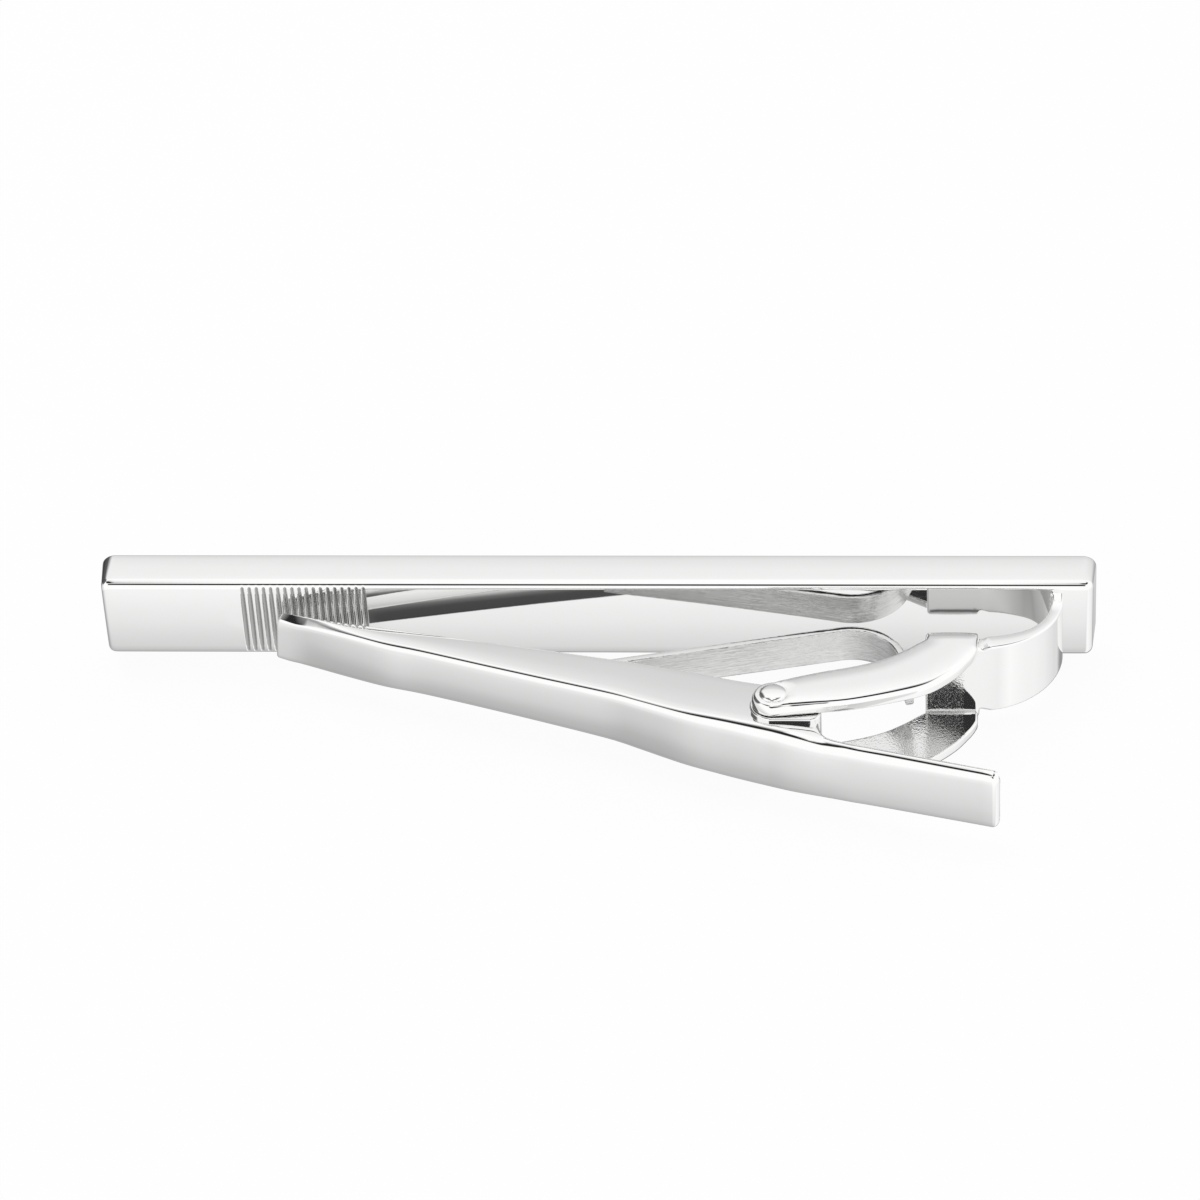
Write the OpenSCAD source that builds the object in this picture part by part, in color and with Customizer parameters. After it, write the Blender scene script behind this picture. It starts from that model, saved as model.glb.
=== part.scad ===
// Tie clip: a front bar, a swan-neck yoke fixed to its back, and a sprung arm on a hinge pin.
// X runs along the bar, +Y is the way the front of the bar faces, Z is up as worn.
// The origin is the centre of the front face. All lengths are in millimetres.

/* [View] */

// Piece to draw

/* [Front bar] */

// Length of the bar along its back face
bar_len = 55.35; // [35:0.05:80]
// Height of the bar
bar_height = 5.4; // [4.5:0.05:9]
// Thickness of the bar, front to back
bar_thick = 2.55; // [1.5:0.05:4]
// How much longer the front face is than the back face at each end
end_draft = 0.26; // [0:0.02:0.6]
// Radius of the long edges at the back
bar_edge_r = 0.45; // [0.1:0.05:0.7]
// Radius of the long edges at the front
bar_front_r = 0.15; // [0.05:0.05:0.5]
// Radius of the bar's corners, seen from the front
bar_corner_r = 0.5; // [0.2:0.05:1]
// Number of grip grooves across the back
groove_count = 18; // [6:1:24]
// Distance from one grip groove to the next
groove_pitch = 0.4; // [0.3:0.02:0.6]
// Width of one grip groove
groove_w = 0.24; // [0.1:0.02:0.28]
// Depth of one grip groove
groove_depth = 0.1; // [0.04:0.01:0.2]
// Distance from the bar's left end to the first grip groove
groove_start = 7.92; // [5:0.02:12]
// Distance from the top edge of the back to the rounded top of the grooves
groove_top_gap = 0.3; // [0.2:0.05:1]

/* [Yoke] */

// Drop of the yoke, arm and spring below the bar's middle line
clasp_drop = 0.4; // [0:0.05:0.6]
// Distance from the hinge end of the bar's back to the centre of the neck's bend
neck_inset = 6.33; // [5:0.01:20]
// Outer radius of the neck's bend
neck_r = 4.58; // [3:0.02:7]
// Thickness of the neck where it meets the bar
neck_root_t = 0.63; // [0.4:0.01:1]
// Radius of the flatter inside curve near the web
neck_inner_r = 6; // [5:0.1:9]
// Height of the neck where it meets the bar
neck_root_h = 4.16; // [3:0.02:4.6]
// Radius of the small fillet at the neck's root
root_fillet = 0.24; // [0.1:0.02:0.5]
// Thickness of the web between the ears
web_t = 0.96; // [0.6:0.02:1.4]
// Thickness of each ear
ear_t = 0.85; // [0.5:0.05:1.2]
// Clear gap between the two ears
ear_gap = 4.6; // [3.8:0.05:6]
// Distance along the bar from the pin to the end of the web
ear_reach = 11.06; // [8:0.02:15]
// Distance from the bar side of the web back to the pin
ear_fall = 5.73; // [4:0.01:8]
// Radius of the ear ends about the pin
ear_end_r = 1.17; // [1:0.01:1.8]

/* [Hinge pin] */

// Diameter of the pin's shank
pin_d = 1.2; // [0.8:0.05:1.6]
// Diameter of the riveted pin heads
pin_head_d = 1.46; // [1.3:0.02:2]
// Depth of the seat that each head fills
pin_seat = 0.2; // [0.1:0.02:0.4]
// Height of the domed top of each head
pin_dome = 0.1; // [0.05:0.01:0.2]
// Width of the dished ring around each head
pin_dish = 0.2; // [0.1:0.02:0.3]
// Running clearance all round the pin in the arm's bore
bore_gap = 0.04; // [0.02:0.01:0.1]

/* [Arm] */

// Distance along the bar from the jaw's nose to the pin
arm_reach = 28.07; // [20:0.01:40]
// Distance back from the jaw's nose to the pin
arm_rise = 8.6; // [6:0.01:12]
// Height of the arm at the hinge
arm_height = 3.7; // [2.6:0.05:4.4]
// Radius of the raised lug about the pin
lug_r = 1.28; // [1.1:0.02:2]
// Length of the lug from the pin towards the lever
lug_len = 2.6; // [2:0.05:4]
// Clearance between the lug and each ear
lug_gap = 0.05; // [0.02:0.01:0.15]

/* [Leaf spring] */

// Thickness of the spring strip
spring_t = 0.5; // [0.3:0.02:0.7]
// Height of the spring strip
spring_h = 2.15; // [1.5:0.05:2.6]
// Outer radius of the spring's crown
crown_r = 3.1; // [2.4:0.05:4]
// Distance along the bar from the pin to the centre of the crown
crown_reach = 4.08; // [3:0.02:6]
// Distance from the back of the bar to the crown
crown_gap = 1.2; // [0.6:0.05:2]
// Slope of the spring's straight run against the bar, in degrees
run_slope = 12.6; // [8:0.2:18]
// Length of the straight run, with the end that is held in the arm
run_len = 15.4; // [10:0.1:20]
// Slope of the free leg away from square to the bar, in degrees
leg_slope = 14.7; // [0:0.1:30]
// Length of the free leg
leg_len = 1.95; // [1:0.05:4]

/* [Hidden] */

$fn = 72;

// Outlines are read as shares of the reach (first) and of the fall or rise (second).
ear_far_shares = [[0, 0.8], [0.03, 0.77], [0.13, 0.705], [0.37, 0.585], [0.52, 0.48],
    [0.63, 0.345], [0.69, 0.25], [0.73, 0.18], [0.74, 0.1], [0.74, 0]];
ear_near_shares = [[1, 0], [1, 0.33], [0.96, 0.465], [0.89, 0.655], [0.77, 0.86],
    [0.62, 0.98], [0.4, 1.1], [0.23, 1.15], [0.05, 1.195], [0, 1.2]];
arm_front_shares = [[0.01, -0.01], [0.1, 0.05], [0.3, 0.17], [0.5, 0.305], [0.67, 0.43],
    [0.75, 0.5], [0.85, 0.6], [0.93, 0.685], [1, 0.74], [1.05, 0.79], [1.08, 0.88],
    [1.09, 1], [1.09, 1.13], [1.1, 1.22], [1.13, 1.28], [1.2, 1.345], [1.32, 1.455],
    [1.43, 1.553], [1.437, 1.578]];
arm_back_shares = [[1.43, 1.628], [1.42, 1.633], [1.2, 1.44], [1.05, 1.31], [0.98, 1.235],
    [0.9, 1.145], [0.82, 1.055], [0.74, 0.935], [0.67, 0.83], [0.52, 0.655], [0.45, 0.575],
    [0.3, 0.405], [0.22, 0.325], [0.15, 0.23], [0.1, 0.155], [0.05, 0.07], [0.02, 0.02]];
arm_nose_shares = [[0.003, 0.006], [0.003, -0.004]];
// Height of the arm: share of the reach, then share of its height at the hinge.
arm_height_shares = [[0, 0.88], [0.1, 0.85], [0.3, 0.81], [0.5, 0.81], [0.7, 0.86],
    [0.85, 0.95], [0.97, 1], [1.2, 1], [1.5, 1]];
curve_steps = 5;
crown_steps = 32;

bar_left = -bar_len / 2;
bar_back = -bar_thick;
bar_half_h = bar_height / 2;
neck_x = -bar_left - neck_inset;
web_y = bar_back - neck_r + web_t;
web_end = neck_x;
pin_x = web_end - ear_reach;
pin_y = web_y - ear_fall;
ear_inner = ear_gap / 2;
ear_outer = ear_inner + ear_t;
yoke_depth = ear_fall + ear_end_r + ear_t;
lug_half = ear_inner - lug_gap;
nose_x = pin_x - arm_reach;
nose_y = pin_y + arm_rise;
crown_x = pin_x + crown_reach;
crown_y = bar_back - crown_gap - crown_r;
run_turn = 90 + run_slope;
head_r = pin_head_d / 2;
dome_r = (head_r * head_r + pin_dome * pin_dome) / pin_dome / 2;
head_rise = pin_dome / 2;

// Smooth curve through a list of points, ends included.
function ends(p) = concat([p[0] * 2 - p[1]], p, [p[len(p) - 1] * 2 - p[len(p) - 2]]);
function bend(a, b, c, d, t) = (b * 2 + (c - a) * t + (a * 2 - b * 5 + c * 4 - d) * t * t
    + (b * 3 - a - c * 3 + d) * t * t * t) / 2;
function smooth(p) = let (q = ends(p)) concat(
    [for (i = [1:len(q) - 3]) for (k = [0:curve_steps - 1])
        bend(q[i - 1], q[i], q[i + 1], q[i + 2], k / curve_steps)],
    [p[len(p) - 1]]);
function ear_points(s) = [for (q = s) [pin_x + q[0] * ear_reach, web_y - q[1] * ear_fall]];
function arm_points(s) = [for (q = s) [nose_x + q[0] * arm_reach, nose_y - q[1] * arm_rise]];
function arm_top(s) = [for (q = s) [nose_x + q[0] * arm_reach, q[1] * arm_height / 2]];
function around(r, a) = [r * cos(a), r * sin(a)];
function under(p) = [for (i = [len(p) - 1:-1:0]) [p[i][0], -p[i][1]]];

// Flat shape drawn in X and Y, made a slab of the given half height.
module slab(half) {
    translate([0, 0, -half])
        linear_extrude(height = half + half)
            children();
}

// Flat shape drawn in X and Z, run through the depth of the clip.
module through_y(near, far) {
    translate([0, far, 0])
        rotate([90, 0, 0])
            linear_extrude(height = far - near)
                children();
}

// Flat shape drawn in Y and Z, run along the bar.
module along_x(left, right) {
    translate([left, 0, 0])
        rotate([90, 0, 90])
            linear_extrude(height = right - left)
                children();
}

module round_rect(left, low, right, high, r) {
    translate([left + r, low])
        square([right - left - r - r, high - low]);
    translate([left, low + r])
        square([right - left, high - low - r - r]);
    for (x = [left + r, right - r])
        for (y = [low + r, high - r])
            translate([x, y])
                circle(r = r);
}

// The bar across its length, with its back to the left.
module bar_section() {
    translate([bar_back + bar_edge_r, -bar_half_h])
        square([bar_thick - bar_edge_r - bar_front_r, bar_height]);
    for (side = [-1, 1]) {
        translate([bar_back + bar_edge_r, side * (bar_half_h - bar_edge_r)])
            circle(r = bar_edge_r);
        translate([-bar_front_r, side * (bar_half_h - bar_front_r)])
            circle(r = bar_front_r);
    }
    translate([bar_back, bar_edge_r - bar_half_h])
        square([bar_thick, bar_height - bar_edge_r - bar_edge_r]);
    translate([bar_back / 2, bar_front_r - bar_half_h])
        square([bar_thick / 2, bar_height - bar_front_r - bar_front_r]);
}

module groove_plan() {
    translate([-groove_w / 2, -bar_height])
        square([groove_w, bar_height + bar_half_h - groove_top_gap]);
    translate([0, bar_half_h - groove_top_gap])
        circle(r = groove_w / 2, $fn = 24);
}

module front_bar() {
    far_x = bar_len / 2 + end_draft;
    color("silver")
    difference() {
        intersection() {
            along_x(-far_x, far_x)
                bar_section();
            through_y(bar_back, 0)
                round_rect(-far_x, -bar_half_h, far_x, bar_half_h, bar_corner_r);
            slab(bar_half_h)
                polygon([[bar_left, bar_back], [-bar_left, bar_back], [far_x, 0], [-far_x, 0]]);
        }
        through_y(bar_back - groove_depth, bar_back + groove_depth)
            for (i = [0:groove_count - 1])
                translate([bar_left + groove_start + i * groove_pitch, 0])
                    groove_plan();
    }
}

module neck_plan() {
    intersection() {
        translate([neck_x, bar_back - neck_r])
            square([neck_r, neck_r]);
        difference() {
            translate([neck_x, bar_back])
                circle(r = neck_r, $fn = 144);
            intersection() {
                translate([neck_x, bar_back])
                    circle(r = neck_r - neck_root_t, $fn = 144);
                translate([neck_x - root_fillet, web_y + neck_inner_r])
                    circle(r = neck_inner_r, $fn = 144);
            }
        }
    }
    translate([neck_x + neck_r, bar_back - root_fillet])
        difference() {
            translate([-neck_root_t / 2, 0])
                square([neck_root_t / 2 + root_fillet, root_fillet]);
            translate([root_fillet, 0])
                circle(r = root_fillet);
        }
}

module neck_side() {
    polygon([
        [bar_back, -neck_root_h / 2], [bar_back, neck_root_h / 2],
        [bar_back - neck_r, ear_inner], [bar_back - neck_r, -ear_inner]
    ]);
}

module yoke_section() {
    difference() {
        union() {
            translate([web_y - yoke_depth, -ear_outer])
                square([yoke_depth - ear_t, ear_outer + ear_outer]);
            translate([web_y - yoke_depth, -ear_inner])
                square([yoke_depth, ear_gap]);
            for (z = [-ear_inner, ear_inner])
                translate([web_y - ear_t, z])
                    circle(r = ear_t);
        }
        translate([web_y - web_t - yoke_depth, -ear_inner])
            square([yoke_depth, ear_gap]);
    }
}

// Lies inside the strip, across the plane where the web meets the neck.
module web_core() {
    translate([neck_x - root_fillet, web_y - web_t / 2, -ear_inner / 2])
        cube([root_fillet + root_fillet, web_t / 4, ear_inner]);
}

module swan_neck_yoke() {
    color("gainsboro")
    translate([0, 0, -clasp_drop])
    difference() {
        union() {
            intersection() {
                slab(neck_root_h)
                    neck_plan();
                along_x(neck_x, neck_x + neck_r + root_fillet)
                    neck_side();
            }
            web_core();
            intersection() {
                along_x(pin_x - ear_end_r, web_end)
                    yoke_section();
                slab(ear_outer) {
                    polygon(concat(smooth(ear_points(ear_far_shares)),
                        smooth(ear_points(ear_near_shares))));
                    translate([pin_x, pin_y])
                        circle(r = ear_end_r);
                }
            }
        }
        translate([pin_x, pin_y, -ear_outer - pin_seat])
            cylinder(d = pin_d, h = ear_outer + ear_outer + pin_seat + pin_seat);
        for (turn = [0, 180])
            translate([pin_x, pin_y, 0])
                rotate([turn, 0, 0])
                    translate([0, 0, ear_outer - pin_seat]) {
                        cylinder(r = head_r, h = pin_seat + pin_seat);
                        translate([0, 0, pin_seat / 2])
                            cylinder(r1 = head_r, r2 = head_r + pin_dish, h = pin_seat / 2);
                    }
    }
}

module hinge_pin() {
    color("silver")
    translate([pin_x, pin_y, -clasp_drop]) {
        translate([0, 0, pin_seat - ear_outer])
            cylinder(d = pin_d, h = ear_outer + ear_outer - pin_seat - pin_seat);
        for (turn = [0, 180])
            rotate([turn, 0, 0])
                intersection() {
                    translate([0, 0, ear_outer - pin_seat])
                        cylinder(r = head_r, h = pin_seat + pin_dome + head_rise);
                    translate([0, 0, ear_outer + head_rise - (dome_r - pin_dome)])
                        sphere(r = dome_r, $fn = 96);
                }
    }
}

module lug_plan() {
    translate([pin_x, pin_y])
        circle(r = lug_r);
    translate([pin_x, pin_y - lug_r])
        square([lug_len - lug_r / 2, lug_r + lug_r]);
    translate([pin_x + lug_len - lug_r, pin_y])
        circle(r = lug_r);
}

module clip_arm() {
    color("whitesmoke")
    translate([0, 0, -clasp_drop])
    difference() {
        union() {
            intersection() {
                slab(arm_height)
                    polygon(concat(smooth(arm_points(arm_front_shares)),
                        smooth(arm_points(arm_back_shares)), arm_points(arm_nose_shares)));
                through_y(nose_y - arm_rise - arm_rise, nose_y + arm_rise)
                    polygon(concat(smooth(arm_top(arm_height_shares)),
                        under(smooth(arm_top(arm_height_shares)))));
            }
            slab(lug_half)
                lug_plan();
        }
        translate([pin_x, pin_y, -ear_outer])
            cylinder(d = pin_d + bore_gap + bore_gap, h = ear_outer + ear_outer);
        slab(spring_h / 2)
            spring_run();
    }
}

module spring_run() {
    translate([crown_x, crown_y])
        rotate(run_turn)
            translate([crown_r - spring_t, 0])
                square([spring_t, run_len]);
}

module spring_plan() {
    inner_r = crown_r - spring_t;
    sweep = run_turn - leg_slope;
    turns = [for (k = [0:crown_steps]) run_turn - k * sweep / crown_steps];
    run_end = [-run_len * sin(run_turn), run_len * cos(run_turn)];
    leg_end = [leg_len * sin(leg_slope), -leg_len * cos(leg_slope)];
    translate([crown_x, crown_y])
        polygon(concat(
            [around(crown_r, run_turn) + run_end],
            [for (a = turns) around(crown_r, a)],
            [around(crown_r, leg_slope) + leg_end, around(inner_r, leg_slope) + leg_end],
            [for (k = [crown_steps:-1:0]) around(inner_r, turns[k])],
            [around(inner_r, run_turn) + run_end]
        ));
}

module leaf_spring() {
    color("lightgray")
    translate([0, 0, -clasp_drop])
        slab(spring_h / 2)
            spring_plan();
}

front_bar();
swan_neck_yoke();
hinge_pin();
clip_arm();
leaf_spring();
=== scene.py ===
import math

import bpy
import numpy as np
from mathutils import Matrix, Vector
from mathutils.geometry import delaunay_2d_cdt


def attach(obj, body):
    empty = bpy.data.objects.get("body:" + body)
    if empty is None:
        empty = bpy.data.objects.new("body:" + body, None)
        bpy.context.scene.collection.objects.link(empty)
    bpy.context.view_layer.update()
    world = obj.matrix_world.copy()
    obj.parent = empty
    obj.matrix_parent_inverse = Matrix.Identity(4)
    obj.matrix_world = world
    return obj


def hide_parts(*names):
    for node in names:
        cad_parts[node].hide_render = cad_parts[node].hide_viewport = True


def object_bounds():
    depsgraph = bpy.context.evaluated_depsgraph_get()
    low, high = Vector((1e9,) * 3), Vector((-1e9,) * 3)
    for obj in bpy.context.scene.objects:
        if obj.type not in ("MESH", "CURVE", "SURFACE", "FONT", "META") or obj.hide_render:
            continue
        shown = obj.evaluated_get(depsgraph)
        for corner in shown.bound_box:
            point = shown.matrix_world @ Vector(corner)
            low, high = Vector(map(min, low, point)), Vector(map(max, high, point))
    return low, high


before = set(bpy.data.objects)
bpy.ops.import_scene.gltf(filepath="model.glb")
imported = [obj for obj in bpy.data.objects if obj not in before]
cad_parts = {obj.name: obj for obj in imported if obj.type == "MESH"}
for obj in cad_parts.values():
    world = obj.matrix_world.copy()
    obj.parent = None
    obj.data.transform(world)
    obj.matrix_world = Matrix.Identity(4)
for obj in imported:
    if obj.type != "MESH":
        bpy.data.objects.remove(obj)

MM = 0.001
CAD_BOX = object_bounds()
scene = bpy.context.scene


# Sizes, in millimetres, as in the part's source unless a comment says otherwise

BAR_LEN = 55.35
BAR_H = 5.4
BAR_T = 2.55
DRAFT = 0.26
BACK_R = 0.45
FRONT_R = 0.15
# The mesh's left end and grooves sit this much to the right of the solid's.
LEFT_SHIFT = 0.12
LEFT = LEFT_SHIFT - BAR_LEN / 2
# Lean of the bar's back, rise over run, which shifts the mirror images in it.
BACK_LEAN = 0.044
GROOVES = 18
PITCH = 0.4
GROOVE_START = 7.92 + LEFT_SHIFT
GROOVE_X = GROOVE_START - BAR_LEN / 2
# Cut a little wider than in the solid, with a soft lip at each side.
GROOVE_W = 0.26
GROOVE_D = 0.1
LIP_D = 0.014

DROP = 0.4
NECK_INSET = 6.33
NECK_X = BAR_LEN / 2 - NECK_INSET
NECK_R = 4.58
NECK_ROOT_T = 0.63
NECK_IN_R = 6.0
ROOT_FILLET = 0.24
WEB_T = 0.96
WEB_Y = -BAR_T - NECK_R + WEB_T
EAR_T = 0.85
EAR_IN = 2.3
EAR_REACH = 11.06
EAR_FALL = 5.73
EAR_END = 1.17
# Inner radius of the folds between the web and the ears.
FOLD_R = 0.15
# The web's left end, as a share of the reach back from the neck.
WEB_SHARE = 0.26
WEB_X = NECK_X - WEB_SHARE * EAR_REACH

PIN_X = NECK_X - EAR_REACH
PIN_Y = WEB_Y - EAR_FALL
PIN_R = 0.6
HEAD_R = 0.73

ARM_REACH = 28.07
ARM_RISE = 8.6
ARM_H = 3.7
NOSE_X = PIN_X - ARM_REACH
NOSE_Y = PIN_Y + ARM_RISE
LUG_R = 1.28
LUG_LEN = 2.6
LUG_HALF = 2.25

SPRING_T = 0.5
SPRING_H = 2.15
CROWN_R = 3.1
CROWN_REACH = 4.08
CROWN_GAP = 1.2
CROWN_X = PIN_X + CROWN_REACH
CROWN_Y = -BAR_T - CROWN_GAP - CROWN_R
RUN_SLOPE = 12.6
RUN_LEN = 15.4
LEG_SLOPE = 14.7
LEG_LEN = 1.95

# Outlines, as shares of the reach (first) and of the fall or rise (second)
EAR_FAR = [(0, .8), (.03, .77), (.13, .705), (.37, .585), (.52, .48), (.63, .345), (.69, .25),
           (.72, .205)]
EAR_NEAR = [(1, .31), (.985, .38), (.96, .465), (.89, .655), (.77, .86), (.62, .98), (.4, 1.1),
            (.23, 1.15), (.05, 1.195), (0, 1.204)]
ARM_FRONT = [(.01, -.01), (.1, .05), (.3, .17), (.5, .305), (.67, .43), (.75, .5), (.85, .6),
             (.93, .685), (1, .74), (1.05, .79), (1.08, .88), (1.09, 1), (1.09, 1.13),
             (1.1, 1.22), (1.13, 1.28), (1.2, 1.345), (1.32, 1.455), (1.425, 1.549)]
ARM_BACK = [(.006, .035), (.05, .088), (.1, .162), (.15, .233), (.22, .325), (.3, .405), (.45, .575),
            (.52, .655), (.67, .83), (.74, .935), (.82, 1.055), (.9, 1.145), (.98, 1.235),
            (1.05, 1.31), (1.2, 1.44), (1.422, 1.635)]
# Height of the arm: share of the reach, then share of its height at the hinge
ARM_HEIGHT = [(0, .88), (.1, .85), (.3, .81), (.5, .81), (.7, .86), (.85, .95), (.97, 1), (1.2, 1),
              (1.5, 1)]


# Curves

def smooth(points, steps=8):
    """Smooth curve through the points, ends included."""
    p = [np.array(q, float) for q in points]
    p = [2 * p[0] - p[1]] + p + [2 * p[-1] - p[-2]]
    out = []
    for a, b, c, d in zip(p, p[1:], p[2:], p[3:]):
        for k in range(steps):
            t = k / steps
            out.append((2 * b + (c - a) * t + (2 * a - 5 * b + 4 * c - d) * t * t
                        + (3 * b - a - 3 * c + d) * t ** 3) / 2)
    out.append(p[-2])
    return np.array(out)


def lengths(path):
    """Length along a path at each of its points."""
    return np.concatenate([[0], np.cumsum(np.linalg.norm(np.diff(path, axis=0), axis=1))])


def at(path, s):
    """Points of a path at lengths s."""
    k = lengths(path)
    return np.stack([np.interp(s, k, path[:, i]) for i in range(path.shape[1])], axis=1)


def arc(cx, cy, r, a, b, n):
    """Arc of n points from angle a to angle b, in degrees."""
    t = np.radians(np.linspace(a, b, n))
    return np.stack([cx + r * np.cos(t), cy + r * np.sin(t)], axis=1)


def ramp(x):
    """Soft step from 0 at x = 0 to 1 at x = 1."""
    x = np.clip(x, 0, 1)
    return x * x * (3 - 2 * x)


def inward_of(loop):
    """Unit vectors into a counter-clockwise closed outline, one at each point."""
    tang = np.roll(loop, -1, axis=0) - np.roll(loop, 1, axis=0)
    tang /= np.linalg.norm(tang, axis=1)[:, None]
    return np.stack([-tang[:, 1], tang[:, 0]], axis=1)


# Meshes

# How far the shading of large faces wins over that of the small ones at their edges.
NORMAL_WEIGHT = 90
# Share of a crowned side's half length over which its end slope is taken.
CROWN_SPAN = 0.9


def make(name, verts, faces, mat, body, nodes=(), uv=None):
    """Mesh object from vertices in millimetres, riding on a body."""
    mesh = bpy.data.meshes.new(name)
    mesh.from_pydata([tuple(v * MM) for v in np.asarray(verts, float)], [], faces)
    mesh.validate()
    for poly in mesh.polygons:
        poly.use_smooth = True
    if uv is not None:
        layer = mesh.uv_layers.new(name="strip")
        for loop in mesh.loops:
            layer.data[loop.index].uv = uv[loop.vertex_index]
    mesh.materials.append(mat)
    ob = bpy.data.objects.new(name, mesh)
    scene.collection.objects.link(ob)
    weighted = ob.modifiers.new("normals", "WEIGHTED_NORMAL")
    weighted.keep_sharp = True
    weighted.weight = NORMAL_WEIGHT
    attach(ob, body)
    if nodes:
        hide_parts(*nodes)
    return ob


def add_material(ob, mat, marked):
    """Give a second material to the faces whose vertices are all marked."""
    ob.data.materials.append(mat)
    for poly in ob.data.polygons:
        if all(marked[v] for v in poly.vertices):
            poly.material_index = 1


def loft(rings):
    """Quads through rings of equal length, with a flat cap at each end."""
    n = len(rings[0])
    verts = np.concatenate(rings)
    faces = []
    for k in range(len(rings) - 1):
        for i in range(n):
            j = (i + 1) % n
            faces.append((k * n + i, k * n + j, (k + 1) * n + j, (k + 1) * n + i))
    faces.append(tuple(range(n - 1, -1, -1)))
    faces.append(tuple(range((len(rings) - 1) * n, len(rings) * n)))
    return verts, faces


def section(a0, a1, b0, b1, r, crown, cells, turn, lines=None):
    """Rounded rectangle, counter-clockwise from its lower right corner.

    r: radii of the corners (a1, b1), (a0, b1), (a0, b0), (a1, b0);
    crown: bulge of the sides at a1, b1, a0, b0, with cells along each;
    turn: steps round each corner;
    lines: places along the side at a0, from -1 to 1, instead of even cells.
    """
    out = np.array([(1, 0), (0, 1), (-1, 0), (0, -1)], float)
    along = np.array([(0, 1), (-1, 0), (0, -1), (1, 0)], float)
    reach = [a1, b1, -a0, -b0]
    half = [(b1 - b0) / 2, (a1 - a0) / 2] * 2
    lean = [math.atan2(2 * c, CROWN_SPAN * h) for c, h in zip(crown, half)]
    mids = []
    for i in range(4):
        j = (i + 1) % 4
        mids.append(out[i] * (reach[i] - crown[i] - r[i] * math.cos(lean[i]))
                    + out[j] * (reach[j] - crown[j] - r[i] * math.cos(lean[j])))
    pts = []
    for i in range(4):
        j, h = (i + 1) % 4, (i - 1) % 4
        t0 = mids[h] @ along[i] - r[h] * math.sin(lean[i])
        t1 = mids[i] @ along[i] + r[i] * math.sin(lean[i])
        steps = np.linspace(-1, 1, cells[i] + 1)
        if lines is not None and i == 2:
            steps = np.asarray(lines)
        for k in steps:
            pts.append(along[i] * ((t0 + t1) / 2 + k * (t1 - t0) / 2)
                       + out[i] * (reach[i] - crown[i] * k * k))
        for f in np.linspace(lean[i], math.pi / 2 - lean[j], turn + 1)[1:-1]:
            pts.append(mids[i] + r[i] * (out[i] * math.cos(f) + out[j] * math.sin(f)))
    return np.array(pts)


# Materials

SILVER = (0.93, 0.93, 0.925)
# Scale, detail and depth of each layer of the metal, scales per metre and depths in metres.
CLOUD_SCALE, CLOUD_DETAIL = 140.0, 3.0
MARK_SCALE, MARK_DETAIL, MARK_DEPTH = 4500.0, 2.0, 0.00001
SWELL_SCALE, SWELL_DETAIL, SWELL_DEPTH = 260.0, 1.0, 0.0002
# The streaks run along the strip: scales per millimetre of its length and of its height.
STREAK_SIZE = (0.45, 9.0, 1.0)
STREAK_SCALE, STREAK_DETAIL, STREAK_DEPTH = 1.0, 4.0, 0.00012
LEAST_ROUGH = 0.01


def new_material(name):
    mat = bpy.data.materials.new(name)
    mat.use_nodes = True
    tree = mat.node_tree
    tree.nodes.clear()
    return mat, tree, tree.nodes.new("ShaderNodeOutputMaterial")


def metal(name, colour, rough, rough_var=0.02, tint=0.03, swell=0.02, grain=0.02, streaks=0.0,
          fine=MARK_SCALE):
    """Polished metal: slow swell of hand polishing, very fine marks, faint tone changes."""
    mat, tree, out = new_material(name)
    nodes, links = tree.nodes, tree.links
    bsdf = nodes.new("ShaderNodeBsdfPrincipled")
    bsdf.inputs["Metallic"].default_value = 1.0
    coord = nodes.new("ShaderNodeTexCoord")

    def noise(scale, detail, source=None):
        texture = nodes.new("ShaderNodeTexNoise")
        texture.inputs["Scale"].default_value = scale
        texture.inputs["Detail"].default_value = detail
        links.new(source or coord.outputs["Object"], texture.inputs["Vector"])
        return texture.outputs["Fac"]

    def bump(height, strength, distance, before=None):
        node = nodes.new("ShaderNodeBump")
        node.inputs["Strength"].default_value = strength
        node.inputs["Distance"].default_value = distance
        links.new(height, node.inputs["Height"])
        if before is not None:
            links.new(before, node.inputs["Normal"])
        return node.outputs["Normal"]

    cloud = noise(CLOUD_SCALE, CLOUD_DETAIL)
    level = nodes.new("ShaderNodeMapRange")
    level.inputs["To Min"].default_value = max(LEAST_ROUGH, rough - rough_var)
    level.inputs["To Max"].default_value = rough + rough_var
    links.new(cloud, level.inputs["Value"])
    links.new(level.outputs["Result"], bsdf.inputs["Roughness"])
    shade = nodes.new("ShaderNodeMix")
    shade.data_type = "RGBA"
    shade.inputs["A"].default_value = (*[c * (1 - tint) for c in colour], 1)
    shade.inputs["B"].default_value = (*colour, 1)
    links.new(cloud, shade.inputs["Factor"])
    links.new(shade.outputs["Result"], bsdf.inputs["Base Color"])
    normal = bump(noise(fine, MARK_DETAIL), grain, MARK_DEPTH)
    normal = bump(noise(SWELL_SCALE, SWELL_DETAIL), swell, SWELL_DEPTH, normal)
    if streaks:
        size = nodes.new("ShaderNodeMapping")
        size.inputs["Scale"].default_value = STREAK_SIZE
        links.new(coord.outputs["UV"], size.inputs["Vector"])
        lines = noise(STREAK_SCALE, STREAK_DETAIL, size.outputs["Vector"])
        normal = bump(lines, streaks, STREAK_DEPTH, normal)
    links.new(normal, bsdf.inputs["Normal"])
    links.new(bsdf.outputs["BSDF"], out.inputs["Surface"])
    return mat


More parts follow.
